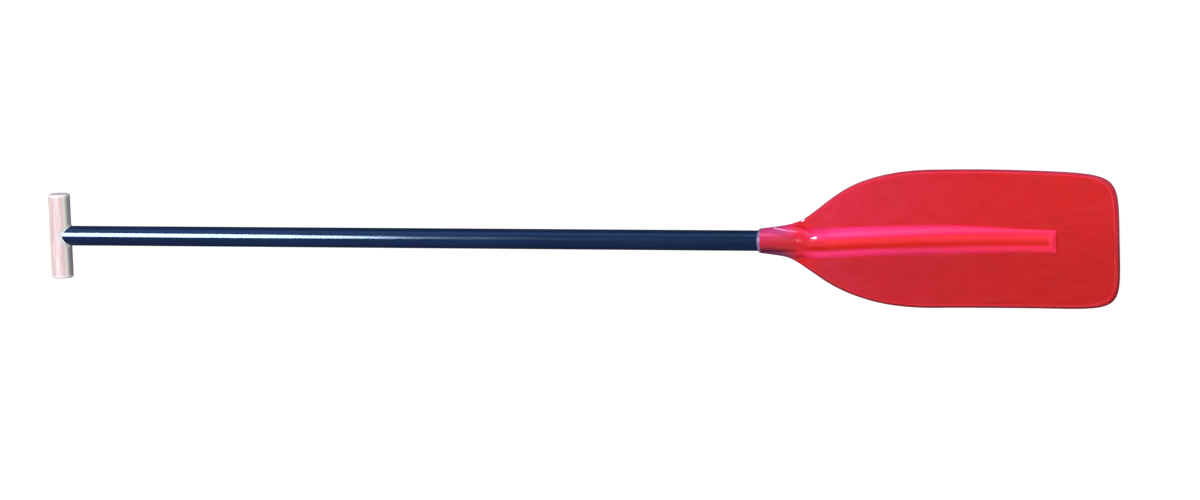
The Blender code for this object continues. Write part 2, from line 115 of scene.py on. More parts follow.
SHAFT_R = SHAFT_DIAMETER / 2
GRIP_R = (SHAFT_DIAMETER + GRIP_OVER_SHAFT) / 2
SOCKET_R = SHAFT_R + CLEAR + BOND_WALL + CLEAR + SKIN
PLATE = SKIN + CLEAR / 2
SHAFT_END = SHAFT_VISIBLE + TUBE_IN_SOCKET
RIB_END = BLADE_LENGTH - RIB_BEFORE_TIP
RIB_CREST = TUBE_IN_SOCKET + RIB_CREST_RUN
BOW_START = TUBE_IN_SOCKET + BOW_AFTER_TUBE

# Thick lap of cloth under the gel coat, on one flank where the spine starts
SWELL_PLACE = 88.5 * MM
SWELL_SIDE = 13.4 * MM
SWELL_RUN = 14.0 * MM
SWELL_SPREAD = 5.0 * MM
SWELL_RISE = 2.1 * MM

# Painted glint along a line slanting across the neck: its distance from the axis at the mouth
GLINT_LINE_ASIDE = 21.25 * MM
GLINT_LINE_SLOPE = 0.1215

# Small forms that only the fine meshes have
SLEEVE_LIP = 0.3 * MM
RIM_BLUNT_START = 0.3 * MM
FILLET_LEG = 1.2 * MM
FILLET_GRIP_LEG = 3.6 * MM
FILLET_HOLLOW = 0.3
FILLET_UNEVEN = 0.18
BEAD_UNEVEN = 0.12
BEAD_FULLNESS = 0.8

# Fine meshes: seams between neighbouring pieces, the angle of a sharp edge, and facets
SEAM = 0.04 * MM
SHARP = 35.0
SHARP_SKIN = 40.0
SHARP_RIM = 60.0
ROUND = 160
BORE_SIDES = 64
NECK_POINTS = 12
SHOULDER_POINTS = 240
SIDE_POINTS = 120
TIP_POINTS = 400
BLEND_ROWS = 80
SHOULDER_ROWS = 50
SPINE_ROWS = 40
STEP_ROWS = 9
TIP_ROWS = 60
RIB_COLUMNS = 26
PLATE_COLUMNS = 14
RIM_STATIONS = 330
RIM_NOSE_STEPS = 17
SLEEVE_STATIONS = 60
GRIP_STATIONS = 40
GRIP_ROUND_STEPS = 12
BEAD_STEPS = 14
FILLET_STEPS = 9


def centre(node):
    low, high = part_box(node)
    return (low + high) / 2


# Where the shaft lies: the centres of both nodes are on its axis
TAIL = centre("grip_bar")
HEAD = centre("socket_bond")
TILT = -math.atan2(HEAD.z - TAIL.z, HEAD.x - TAIL.x)
BASE = Matrix.Translation(TAIL) @ Matrix.Rotation(TILT, 4, "Y")


def smooth(t):
    t = np.clip(t, 0.0, 1.0)
    return t * t * (3 - 2 * t)


def bezier(p0, p1, p2, p3, count):
    t = np.linspace(0.0, 1.0, count)[:, None]
    return (
        (1 - t) ** 3 * np.array(p0)
        + 3 * (1 - t) ** 2 * t * np.array(p1)
        + 3 * (1 - t) * t**2 * np.array(p2)
        + t**3 * np.array(p3)
    )


def outline_half():
    """The blade's edge on one side, from the socket's mouth to the tip, as (distance, half width)."""
    half = BLADE_WIDTH / 2
    neck = SOCKET_R + NECK_GROWTH
    slope = NECK_GROWTH / NECK_LENGTH
    corner = BLADE_LENGTH - CORNER_START
    corner_half = half - CORNER_DROP
    fall = 2 * CORNER_DROP / (corner - SHOULDER_END)
    neck_line = np.linspace((0.0, SOCKET_R), (NECK_LENGTH, neck), NECK_POINTS)
    shoulder = bezier(
        (NECK_LENGTH, neck),
        (NECK_LENGTH + SHOULDER_HANDLE_NECK, neck + slope * SHOULDER_HANDLE_NECK),
        (SHOULDER_END - SHOULDER_HANDLE_SIDE, half),
        (SHOULDER_END, half),
        SHOULDER_POINTS,
    )
    side = bezier(
        (SHOULDER_END, half),
        (SHOULDER_END + SIDE_HANDLE, half),
        (corner - SIDE_HANDLE, corner_half + fall * SIDE_HANDLE),
        (corner, corner_half),
        SIDE_POINTS,
    )
    tip = bezier(
        (corner, corner_half),
        (corner + CORNER_HANDLE_SIDE, corner_half - fall * CORNER_HANDLE_SIDE),
        (BLADE_LENGTH, TIP_FLAT / 2 + CORNER_HANDLE_TIP),
        (BLADE_LENGTH, TIP_FLAT / 2),
        TIP_POINTS,
    )
    return np.concatenate([neck_line, shoulder[1:], side[1:], tip[1:]])


OUTLINE = outline_half()


def rim_width(d):
    run_in = RIM_START_SHARE + (1 - RIM_START_SHARE) * smooth((d - RIM_START) / RIM_RUN_IN)
    tip = smooth((d - (BLADE_LENGTH - RIM_TIP_START)) / RIM_TIP_RUN)
    return RIM_WIDTH * run_in + (RIM_TIP_WIDTH - RIM_WIDTH) * tip


def outward(points):
    """Unit normals of the half outline, away from the blade."""
    along = np.gradient(points, axis=0)
    along /= np.linalg.norm(along, axis=1)[:, None]
    return np.stack([-along[:, 1], along[:, 0]], axis=1)


def skin_edge():
    """The skins' edge: the outline, drawn in by the rim."""
    d = OUTLINE[:, 0]
    draw_in = (rim_width(d) + SEAM) * smooth((d - RIM_START) / RIM_SEAT_RUN + 1.0)
    return OUTLINE - outward(OUTLINE) * draw_in[:, None]


SKIN_EDGE = skin_edge()
SKIN_LENGTH = BLADE_LENGTH - rim_width(BLADE_LENGTH) - SEAM


def bow(d):
    reach = BLADE_LENGTH + BOW_PAST_TIP - BOW_START
    return BOW * np.sin(math.pi * np.clip((d - BOW_START) / reach, 0.0, 1.0))


def lean(d):
    """Sideways shift of the blade's edges near its shoulders, beside the spine."""
    rise = smooth((d - BLEND_START) / SHOULDER_LEAN_RISE)
    fall = smooth((d - BLEND_START - SHOULDER_LEAN_RISE) / SHOULDER_LEAN_FALL)
    return -SHOULDER_LEAN * rise * (1 - fall)


def rib_shift(d):
    """Sideways shift of the spine, past the tube's end."""
    away = smooth((d - TUBE_IN_SOCKET) / RIB_SHIFT_RUN)
    return away * (RIB_LEAN_SHARE * lean(d) - RIB_SHIFT)


def spoon(d):
    t = np.clip((d - TUBE_IN_SOCKET) / (BLADE_LENGTH - TUBE_IN_SOCKET), 0.0, 1.0)
    return -SPOON_DEPTH * (1 - np.cos(2 * math.pi * SPOON_TURNS * t)) / 2


def rib_height(d):
    rise = np.clip((d - TUBE_IN_SOCKET) / RIB_CREST_RUN, 0.0, 1.0)
    crest = SOCKET_R + RIB_CREST_RISE * np.sin(math.pi / 2 * rise)
    fall = np.clip((d - RIB_CREST) / (RIB_END - RIB_CREST), 0.0, 1.0) ** RIB_FALL_POWER
    height = crest + (RIB_HEIGHT_END - crest) * fall
    step = np.clip((RIB_END + RIB_END_STEP - d) / RIB_END_STEP, 0.0, 1.0)
    return PLATE + (height - PLATE) * smooth(step)


def half_width(d):
    return np.interp(d, SKIN_EDGE[:, 0], SKIN_EDGE[:, 1])


def rib_half_width(d):
    taper = smooth((d - RIB_TAPER_START) / (RIB_END - RIB_TAPER_START))
    half = (RIB_WIDTH_START + (RIB_WIDTH_END - RIB_WIDTH_START) * taper) / 2
    return np.minimum(half, BLEND_RIB_SHARE * half_width(d))


def section(d, inner):
    """Half sections of one skin at the distances d, from the crown to the edge: offsets and heights."""
    wall = SKIN if inner else 0.0
    seam = CLEAR / 2
    blend = smooth((d - BLEND_START) / BLEND_LENGTH)
    width, height = half_width(d), rib_height(d)
    turn = np.concatenate(
        [
            np.linspace(90.0, NECK_FLANK_ANGLE, RIB_COLUMNS + 1),
            np.linspace(NECK_FLANK_ANGLE, 0.0, PLATE_COLUMNS + 1)[1:],
        ]
    )
    turn = np.radians(turn)
    neck_y = (width - wall) * np.cos(turn)
    neck_z = np.maximum((height - wall) * np.sin(turn), seam)
    rib = rib_half_width(d) - wall
    plate = seam if inner else PLATE
    crown = np.maximum(height - wall, plate)
    angle = np.linspace(0.0, math.pi / 2, RIB_COLUMNS + 1)
    rib_y = rib * np.sin(angle)
    rib_z = plate + (crown - plate) * np.maximum(np.cos(angle), 0.0) ** RIB_FULLNESS
    share = np.linspace(0.0, 1.0, PLATE_COLUMNS + 1)[1:]
    flat_y = rib + (width - rib) * share
    flat_z = np.full((len(d), PLATE_COLUMNS), plate)
    blade_y = np.concatenate([rib_y, flat_y], axis=1)
    blade_z = np.concatenate([rib_z, flat_z], axis=1)
    return (1 - blend) * neck_y + blend * blade_y, (1 - blend) * neck_z + blend * blade_z


def rows():
    """Distances of the skins' sections, close together where the form turns."""
    blend_end = BLEND_START + BLEND_LENGTH
    step_end = RIB_END + RIB_END_STEP
    turn = np.linspace(0.0, math.pi / 2, TIP_ROWS)
    parts = [
        np.linspace(0.0, blend_end, BLEND_ROWS),
        np.linspace(blend_end, SHOULDER_END, SHOULDER_ROWS)[1:],
        np.linspace(SHOULDER_END, RIB_END, SPINE_ROWS)[1:],
        np.linspace(RIB_END, step_end, STEP_ROWS)[1:],
        (step_end + (SKIN_LENGTH - step_end) * np.sin(turn))[1:],
    ]
    return np.concatenate(parts)


def mesh_from(name, points, faces, sharp=SHARP):
    """A closed, smooth-shaded mesh in the row frame, from points of the shaft's frame."""
    data = bpy.data.meshes.new(name)
    data.from_pydata([tuple(map(float, p)) for p in points], [], faces)
    shape = bmesh.new()
    shape.from_mesh(data)
    bmesh.ops.recalc_face_normals(shape, faces=shape.faces)
    shape.to_mesh(data)
    shape.free()
    data.shade_smooth()
    data.set_sharp_from_angle(angle=math.radians(sharp))
    data.transform(BASE)
    return data


def add(name, data, made, slot, *nodes):
    """A piece of the object that rides on the paddle and stands for the nodes."""
    piece = bpy.data.objects.new(name, data)
    bpy.context.scene.collection.objects.link(piece)
    data.materials.append(made)
    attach(piece, "root")
    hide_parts(*nodes)
    return piece


def ring_faces(rings, closed):
    """Quads between neighbouring rings of point numbers."""
    faces = []
    pairs = list(zip(rings, rings[1:])) + ([(rings[-1], rings[0])] if closed else [])
    for first, second in pairs:
        size = len(first)
        for i in range(size):
            j = (i + 1) % size
            faces.append([first[i], first[j], second[j], second[i]])
    return faces


def swept(name, sections, closed, sharp=SHARP):
    """A mesh through a list of closed sections, each a list of points. Closed: it ends where it began."""
    size = len(sections[0])
    rings = [list(range(i * size, (i + 1) * size)) for i in range(len(sections))]
    faces = ring_faces(rings, closed)
    if not closed:
        faces += [rings[0], rings[-1]]
    points = [p for section_points in sections for p in section_points]
    return mesh_from(name, points, faces, sharp)


def store(data, name, values):
    """A number at each of a mesh's points, for its material."""
    made = data.attributes.new(name, "FLOAT", "POINT")
    made.data.foreach_set("value", np.asarray(values, np.float32))


def swell(d, y):
    """Rise of the front skin over a thick lap of cloth on one flank, where the spine starts."""
    away = ((d - SWELL_PLACE) / SWELL_RUN) ** 2 + ((y - SWELL_SIDE) / SWELL_SPREAD) ** 2
    return SWELL_RISE * np.exp(-away)


def edge_distance(d, y):
    """How far points of a skin lie from its edge, past the neck."""
    points = np.stack([d.ravel(), np.abs(y.ravel())], axis=1)
    line = SKIN_EDGE[SKIN_EDGE[:, 0] > RIM_START]
    gap = np.empty(len(points))
    batch = 4000
    for i in range(0, len(points), batch):
        part = points[i : i + batch]
        apart = np.hypot(part[:, :1] - line[:, 0], part[:, 1:] - line[:, 1])
        gap[i : i + batch] = apart.min(axis=1)
    return gap.reshape(d.shape)


def make_skin(name, side):
    """One laminate skin: outer and inner surface, closed round the edge."""
    d = rows()[:, None]
    plate = np.linspace(0.0, 1.0, PLATE_COLUMNS + 1)
    beside = np.concatenate([plate[:0:-1], np.zeros(2 * RIB_COLUMNS + 1), plate[1:]])
    grid, marks = [], []
    for inner in (False, True):
        offset, height = section(d, inner)
        y = np.concatenate([-offset[:, :0:-1], offset], axis=1)
        z = np.concatenate([height[:, :0:-1], height], axis=1)
        x = np.broadcast_to(SHAFT_VISIBLE + d, y.shape)
        shift = bow(d) + rib_shift(d) + (lean(d) - rib_shift(d)) * beside
        if side > 0 and not inner:
            z = z + swell(d, y)
        grid.append(np.stack([x, y + shift, side * z + spoon(d)], axis=2))
        across = y / rib_half_width(d)
        depth = edge_distance(np.broadcast_to(d, y.shape), y)
        marks.append(np.stack([np.broadcast_to(d, y.shape), across, depth], axis=2))
    count, columns = grid[0].shape[:2]
    layer = count * columns
    points = np.concatenate([g.reshape(-1, 3) for g in grid])
    marks = np.concatenate([m.reshape(-1, 3) for m in marks])
    number = np.arange(2 * layer).reshape(2, count, columns)
    faces = []
    for row in range(count - 1):
        for column in range(columns - 1):
            quad = [
                number[0, row, column],
                number[0, row + 1, column],
                number[0, row + 1, column + 1],
                number[0, row, column + 1],
            ]
            faces.append([int(i) for i in quad])
            faces.append([int(i) + layer for i in reversed(quad)])
    border = (
        [(r, 0) for r in range(count)]
        + [(count - 1, c) for c in range(1, columns)]
        + [(r, columns - 1) for r in range(count - 2, -1, -1)]
        + [(0, c) for c in range(columns - 2, 0, -1)]
    )
    for (a, b), (c, e) in zip(border, border[1:] + border[:1]):
        wall = [number[0, a, b], number[0, c, e], number[1, c, e], number[1, a, b]]
        faces.append([int(i) for i in wall])
    data = mesh_from(name, points, faces, SHARP_SKIN)
    store(data, "along", marks[:, 0])
    store(data, "across", marks[:, 1])
    store(data, "edge", marks[:, 2])
    return data


def make_rim(name):
    """The rim: a D-shaped bead round the blade's edge, broad across the tip."""
    step = np.hypot(*np.diff(OUTLINE, axis=0).T)
    length = np.concatenate([[0.0], np.cumsum(step)])
    seat = RIM_START - RIM_SEAT_RUN
    start = np.interp(seat + RIM_BLUNT_START, OUTLINE[:, 0], length)
    along = np.linspace(start, length[-1], RIM_STATIONS)
    normal = outward(OUTLINE)
    d, half, nd, ny = [np.interp(along, length, line) for line in (*OUTLINE.T, *normal.T)]
    size = np.hypot(nd, ny)
    left = list(zip(d, half, nd / size, ny / size))
    right = [(a, -b, c, -e) for a, b, c, e in reversed(left)]
    sections, depth = [], []
    for a, b, c, e in left + right:
        width = float(rim_width(a) * smooth((a - seat) / RIM_SEAT_RUN))
        rise = float(smooth((a - BLEND_START) / BLEND_LENGTH))
        high = PLATE * rise + CLEAR / 2 * (1 - rise)
        nose = RIM_NOSE_SHARE * min(width, high)
        round_edge = [
            (nose * (1 - math.sin(t)), high * math.cos(t))
            for t in np.linspace(0.0, math.pi, RIM_NOSE_STEPS)
        ]
        flat = [(nose + (width - nose) * t, high) for t in (1.0, 0.66, 0.33)]
        back = [(inward, -height) for inward, height in reversed(flat)]
        profile = flat + round_edge + back
        sections.append(
            [
                (SHAFT_VISIBLE + a - c * inward, b - e * inward + bow(a) + lean(a), z + spoon(a))
                for inward, z in profile
            ]
        )
        depth += [inward for inward, _ in profile]
    data = swept(name, sections, False, SHARP_RIM)
    store(data, "inward", depth)
    return data


def make_sleeve(name):
    """The sleeve: coped over the crossbar at one end, its lip a little rounded."""
    lip = SLEEVE_LIP
    bore = SHAFT_R - SLEEVE_WALL
    radii = [(bore, 0.0), (SHAFT_R - lip, 0.0)]
    radii += [
        (SHAFT_R - lip * (1 - math.sin(t)), lip * (1 - math.cos(t)))
        for t in (math.radians(30), math.radians(60), math.radians(90))
    ]
    # Rings close to both ends keep the shading of the long faces even
    close = np.array([0.4, 1.2, 3.6, 9.0]) * MM
    sections = []
    for i in range(ROUND):
        angle = 2 * math.pi * i / ROUND
        ring = []
        for radius, back in radii:
            reach = math.sqrt((GRIP_R + SEAM) ** 2 - (radius * math.sin(angle)) ** 2)
            ring.append((reach + back, radius))
        start, end = ring[-1][0], SHAFT_END - lip
        between = np.linspace(start, end, SLEEVE_STATIONS)[1:-1]
        stations = [*(start + close), *between, *(end - close[::-1])]
        ring += [(x, SHAFT_R) for x in stations]
        ring += [(SHAFT_END - back, radius) for radius, back in reversed(radii)]
        sections.append([(x, r * math.cos(angle), r * math.sin(angle)) for x, r in ring])
    return swept(name, sections, True)


def make_grip_bar(name):
    """The crossbar: turned about Y, its ends rounded, bored for the spigot."""
    half = GRIP_LENGTH / 2
    bend = np.linspace(0.0, math.pi / 2, GRIP_ROUND_STEPS + 1)
    end = [
        (half - GRIP_END_ROUND * (1 - math.sin(a)), GRIP_R - GRIP_END_ROUND * (1 - math.cos(a)))
        for a in bend
    ]
    flat = [(half, (GRIP_R - GRIP_END_ROUND) * t) for t in (0.9, 0.6, 0.3)]
    stations = np.linspace(-1, 1, GRIP_STATIONS)[1:-1]
    middle = [(t * (half - GRIP_END_ROUND), GRIP_R) for t in stations]
    profile = [(-y, r) for y, r in reversed(end + flat)] + middle + end + flat
    sections = [
        [
            (r * math.cos(a), y, r * math.sin(a))
            for a in (2 * math.pi * (i + 0.5) / ROUND for i in range(ROUND))
        ]
        for y, r in profile
    ]
    return swept(name, sections, False)


def mark_ends(data):
    """Marks the crossbar's sawn ends for its material."""
    half = GRIP_LENGTH / 2
    inverse = BASE.inverted()
    local = [inverse @ v.co for v in data.vertices]
    store(data, "end", [float(abs(p.y) > half - 0.05 * MM) for p in local])


def make_fillet(name):
    """Fillet of cured glue in the corner between the sleeve and the crossbar, a little uneven."""
    sections = []
    for i in range(ROUND):
        angle = 2 * math.pi * (i + 0.5) / ROUND
        wave = noise.noise(Vector((3 * math.cos(angle), 3 * math.sin(angle), 0)))
        share = 1 + FILLET_UNEVEN * wave
        off_shaft = np.array([0.0, math.cos(angle), math.sin(angle)])
        z = SHAFT_R * off_shaft[2]
        corner = np.array([math.sqrt(GRIP_R**2 - z**2), SHAFT_R * off_shaft[1], z])
        off_grip = np.array([corner[0], 0.0, z]) / GRIP_R
        along = np.cross(off_shaft, off_grip)
        along /= np.linalg.norm(along)
        leg_shaft = np.cross(along, off_shaft)
        leg_shaft *= math.copysign(FILLET_LEG * share, leg_shaft @ off_grip)
        leg_grip = np.cross(along, off_grip)
        leg_grip *= math.copysign(FILLET_GRIP_LEG * share, leg_grip @ off_shaft)
        ring = [corner]
        for t in np.linspace(0.0, 1.0, FILLET_STEPS):
            dip = FILLET_HOLLOW * 4 * t * (1 - t)
            ring.append(corner + (1 - dip) * ((1 - t) * leg_shaft + t * leg_grip))
        sections.append(ring)
    return swept(name, sections, True)


def make_bead(name):
    """Bead of cured resin round the shaft, at the mouth of the socket."""
    sections = []
    inner = SHAFT_R + SEAM
    rise = SOCKET_R - inner
    front = SHAFT_VISIBLE - SEAM
    for i in range(ROUND):
        angle = 2 * math.pi * i / ROUND
        wave = noise.noise(Vector((2 * math.cos(angle), 2 * math.sin(angle), 4.0)))
        reach = MOUTH_BEAD_LENGTH * (1 + BEAD_UNEVEN * wave)
        ring = [(front, inner), (SHAFT_VISIBLE - reach, inner)]
        for t in np.linspace(0.0, math.pi / 2, BEAD_STEPS):
            out = math.cos(t) ** BEAD_FULLNESS
            ring.append((front - reach * out, inner + rise * math.sqrt(1 - out**3)))
        sections.append([(x, r * math.cos(angle), r * math.sin(angle)) for x, r in ring])
    return swept(name, sections, True)


class Shader:
    """A material's node tree. A socket given as an input is linked, and anything else is set."""

    def __init__(self, name):
        self.material = bpy.data.materials.new(name)
        self.material.use_nodes = True
        self.nodes = self.material.node_tree.nodes
        self.links = self.material.node_tree.links
        self.surface = self.nodes["Principled BSDF"]

    def feed(self, socket, value):
        if isinstance(value, bpy.types.NodeSocket):
            self.links.new(value, socket)
        else:
            socket.default_value = value

    def set(self, **inputs):
        for name, value in inputs.items():
            self.feed(self.surface.inputs[name.replace("_", " ")], value)

    def add(self, kind, inputs=(), **settings):
        node = self.nodes.new("ShaderNode" + kind)
        for name, value in settings.items():
            setattr(node, name, value)
        for key, value in dict(inputs).items():
            self.feed(node.inputs[key], value)
        return node

    def place(self):
        return self.add("TexCoord").outputs["Object"]

    def stored(self, name):
        return self.add("Attribute", attribute_name=name).outputs["Fac"]

    def maths(self, operation, a, b=0.0, c=0.0):
        return self.add("Math", {0: a, 1: b, 2: c}, operation=operation).outputs[0]

    def times(self, first, *others):
        for value in others:
            first = self.maths("MULTIPLY", first, value)
        return first

    def scaled(self, vector, scale, offset=(0, 0, 0)):
        return self.add("Mapping", {"Vector": vector, "Scale": scale, "Location": offset}).outputs[0]

    def noise(self, vector, scale, detail=3.0, roughness=0.5):
        inputs = {"Vector": vector, "Scale": scale, "Detail": detail, "Roughness": roughness}
        return self.add("TexNoise", inputs).outputs["Fac"]

    def span(self, value, low, high, to_low=0.0, to_high=1.0, kind="SMOOTHSTEP"):
        inputs = {
            "Value": value,
            "From Min": low,
            "From Max": high,
            "To Min": to_low,
            "To Max": to_high,
        }
        return self.add("MapRange", inputs, interpolation_type=kind).outputs["Result"]

    def mix(self, share, a, b, blend="MIX"):
        node = self.add("Mix", data_type="RGBA", blend_type=blend)
        self.feed(node.inputs[0], share)
        self.feed(node.inputs[6], (*a, 1.0) if isinstance(a, tuple) else a)
        self.feed(node.inputs[7], (*b, 1.0) if isinstance(b, tuple) else b)
        return node.outputs[2]

    def tinted(self, colour, tint):
        return self.mix(1.0, colour, tint, "MULTIPLY")

    def ramp(self, value, *stops):
        """Colours along a value: pairs of value and colour."""
        first, last = stops[0][0], stops[-1][0]
        node = self.add("ValToRGB", {0: self.span(value, first, last, kind="LINEAR")})
        elements = node.color_ramp.elements
        for at, _ in stops[1:-1]:
            elements.new((at - first) / (last - first))
        for element, (_, colour) in zip(elements, stops):
            element.color = (*colour, 1.0)
        node.color_ramp.interpolation = "EASE"
        return node.outputs["Color"]

    def bump(self, height, distance, strength=1.0, normal=None):
        inputs = {"Height": height, "Distance": distance, "Strength": strength}
        if normal is not None:
            inputs["Normal"] = normal
        return self.add("Bump", inputs).outputs["Normal"]


def latewood(s, place, spacing, pith, slant):
    """Share of dark latewood, from growth rings round a slanting pith, fainter in patches."""
    warp = s.add("TexNoise", {"Vector": s.scaled(place, (60, 14, 60)), "Scale": 1.0, "Detail": 3.0})
    drift = s.add("VectorMath", {0: warp.outputs["Color"], 1: (0.5, 0.5, 0.5)}, operation="SUBTRACT")
    moved = s.add(
        "VectorMath", {0: drift.outputs[0], 1: (5 * MM,) * 3, 2: place}, operation="MULTIPLY_ADD"
    )
    axes = s.add("SeparateXYZ", {0: moved.outputs[0]})
    x = s.maths("SUBTRACT", axes.outputs[0], pith[0])
    x = s.maths("MULTIPLY_ADD", axes.outputs[1], slant[0], x)
    z = s.maths("SUBTRACT", axes.outputs[2], pith[1])
    z = s.maths("MULTIPLY_ADD", axes.outputs[1], slant[1], z)
    radius = s.maths("SQRT", s.maths("ADD", s.times(x, x), s.times(z, z)))
    ring = s.maths("FRACT", s.maths("DIVIDE", radius, spacing))
    patches = s.noise(s.scaled(place, (60, 16, 60)), 1.0, 2.0)
    return s.times(s.span(ring, 0.5, 0.88), s.span(ring, 1.0, 0.93), s.span(patches, 0.3, 0.7, 0.35, 1.0))


def painted_light_on_bar(s, colour, place, painted_light_share):
    """Painted light and shade round the crossbar: pale, then grey and dark on the side toward the shaft,
    warmer on the side away from it, a painted highlight on its rounded ends, and pale sawn ends.
    """
    axes = s.add("SeparateXYZ", {0: place})
    turn = s.maths("ARCTAN2", axes.outputs[0], s.maths("ABSOLUTE", axes.outputs[2]))
    # Painted light, then painted shade, on the side toward the shaft
    side_light_and_shade = s.ramp(
        turn,
        (0.60, (0.78, 0.67, 0.62)),
        (0.80, (0.86, 0.81, 0.73)),
        (0.90, (0.74, 0.75, 0.65)),
        (1.01, (0.60, 0.605, 0.535)),
        (1.12, (0.41, 0.39, 0.38)),
        (1.24, (0.37, 0.35, 0.41)),
        (1.48, (0.64, 0.59, 0.66)),
    )
    colour = s.mix(s.times(s.span(turn, 0.55, 0.85), painted_light_share), colour, side_light_and_shade)
    # Painted light: warmer on the side away from the shaft
    colour = s.mix(s.times(s.span(turn, -0.55, -0.85), 0.6 * painted_light_share), colour, (0.96, 0.86, 0.76))
    reach = s.maths("ABSOLUTE", axes.outputs[1])
    # Painted highlight on the rounded edges of the ends
    rounded = s.span(reach, GRIP_LENGTH / 2 - 6 * MM, GRIP_LENGTH / 2 - 3 * MM, 0.0, 0.7 * painted_light_share)
    colour = s.mix(rounded, colour, (0.97, 0.90, 0.90))
    # Painted light: the sawn ends pale
    speck = s.noise(place, 1500.0, 3.0, 0.6)
    sawn = s.mix(s.span(speck, 0.35, 0.65), (1.0, 0.97, 1.0), (0.86, 0.82, 0.88))
    return s.mix(s.times(s.stored("end"), 0.9), colour, sawn)


def wood(name, pale, late, spacing, pith, slant, gloss, painted_light_share=0.0):
    """Flat-sawn hardwood: growth rings, with fibres and pores drawn out along the grain.

    The pith is a line along Y, at X and Z from the crossbar's centre, and slants by a share of Y.
    """
    s = Shader(name)
    place = s.scaled(s.place(), (1, 1, 1), tuple(-c for c in TAIL))
    ring = latewood(s, place, spacing, pith, slant)
    fibre = s.noise(s.scaled(place, (1300, 30, 1300)), 1.0, 4.0, 0.6)
    pores = s.span(s.noise(s.scaled(place, (2600, 80, 2600)), 1.0, 2.0, 0.5), 0.6, 0.7)
    figure = s.noise(s.scaled(place, (330, 16, 330)), 1.0, 3.0, 0.6)
    colour = s.mix(ring, pale, late)
    colour = s.mix(s.span(figure, 0.50, 0.36, 0.0, 0.5), colour, late)
    colour = s.mix(s.span(figure, 0.52, 0.64, 0.0, 0.75), colour, (0.95, 0.84, 0.82))
    colour = s.mix(s.span(fibre, 0.3, 0.75, 0.0, 0.45), colour, tuple(0.9 * c for c in late))
    colour = s.mix(s.times(pores, 0.4), colour, tuple(0.62 * c for c in late))
    # Painted light and shade round the crossbar, and its pale sawn ends
    if painted_light_share:
        colour = painted_light_on_bar(s, colour, place, painted_light_share)
    s.set(Base_Color=colour, Roughness=s.span(fibre, 0.2, 0.8, gloss - 0.06, gloss + 0.1))
    height = s.maths("MULTIPLY_ADD", ring, 0.5, s.times(pores, -1.0))
    s.set(Normal=s.bump(height, 0.05 * MM, 0.5), Coat_Weight=0.2, Coat_Roughness=0.3)
    return s.material


def navy_sleeve():
    """Shrunk plastic sleeve: smooth and deep blue, with a faint orange peel and fine scuffs along it."""
    s = Shader("navy_sleeve")
    place = s.place()
    cloud = s.noise(s.scaled(place, (6, 40, 40)), 1.0, 3.0)
    streak = s.noise(s.scaled(place, (5, 900, 900)), 1.0, 3.0, 0.6)
    scratches = s.noise(s.scaled(place, (45, 1400, 1400)), 1.0, 2.0, 0.4)
    rubbed = s.noise(s.scaled(place, (5, 20, 20)), 1.0, 2.0)
    scuff = s.times(s.span(scratches, 0.66, 0.74), s.span(rubbed, 0.45, 0.75))
    colour = s.mix(s.span(cloud, 0.3, 0.7), (0.0045, 0.0150, 0.056), (0.0070, 0.0210, 0.072))
    # Painted shade: a little less blue toward the blade end
    far = s.span(s.add("SeparateXYZ", {0: place}).outputs[0], -0.3, 0.2)
    colour = s.mix(far, colour, s.tinted(colour, (1.0, 1.0, 0.90)))
    colour = s.mix(s.times(scuff, 0.35), colour, (0.055, 0.08, 0.14))
    rough = s.span(streak, 0.25, 0.75, 0.075, 0.11)
    s.set(Base_Color=colour, Roughness=s.maths("MULTIPLY_ADD", scuff, 0.2, rough))
    peel = s.noise(place, 260.0, 2.0, 0.5)
    s.set(Normal=s.bump(peel, 0.02 * MM, 0.12), IOR=1.5)
    return s.material


def laminate_face(s, place, run, lit_side):
    """Flat face: pinker by the shoulders, more orange and deeper at the tip, and deeper on the -Y side
    than on the +Y side, as painted light and shade.
    """
    bright = s.mix(run, (0.590, 0.0110, 0.036), (0.560, 0.0040, 0.0040))
    deep = s.mix(run, (0.500, 0.0075, 0.021), (0.470, 0.0025, 0.0020))
    # Painted light and shade: brighter on the +Y side, deeper on the -Y side
    colour = s.mix(lit_side, deep, bright)
    blotch = s.noise(s.scaled(place, (34, 46, 46)), 1.0, 3.0, 0.6)
    rosy = s.span(blotch, 0.52, 0.70, 0.0, 0.55)
    colour = s.mix(rosy, colour, s.tinted(colour, (1.04, 1.9, 2.1)))
    rusty = s.span(blotch, 0.48, 0.32, 0.0, 0.7)
    return s.mix(rusty, colour, s.tinted(colour, (0.90, 0.75, 0.55)))


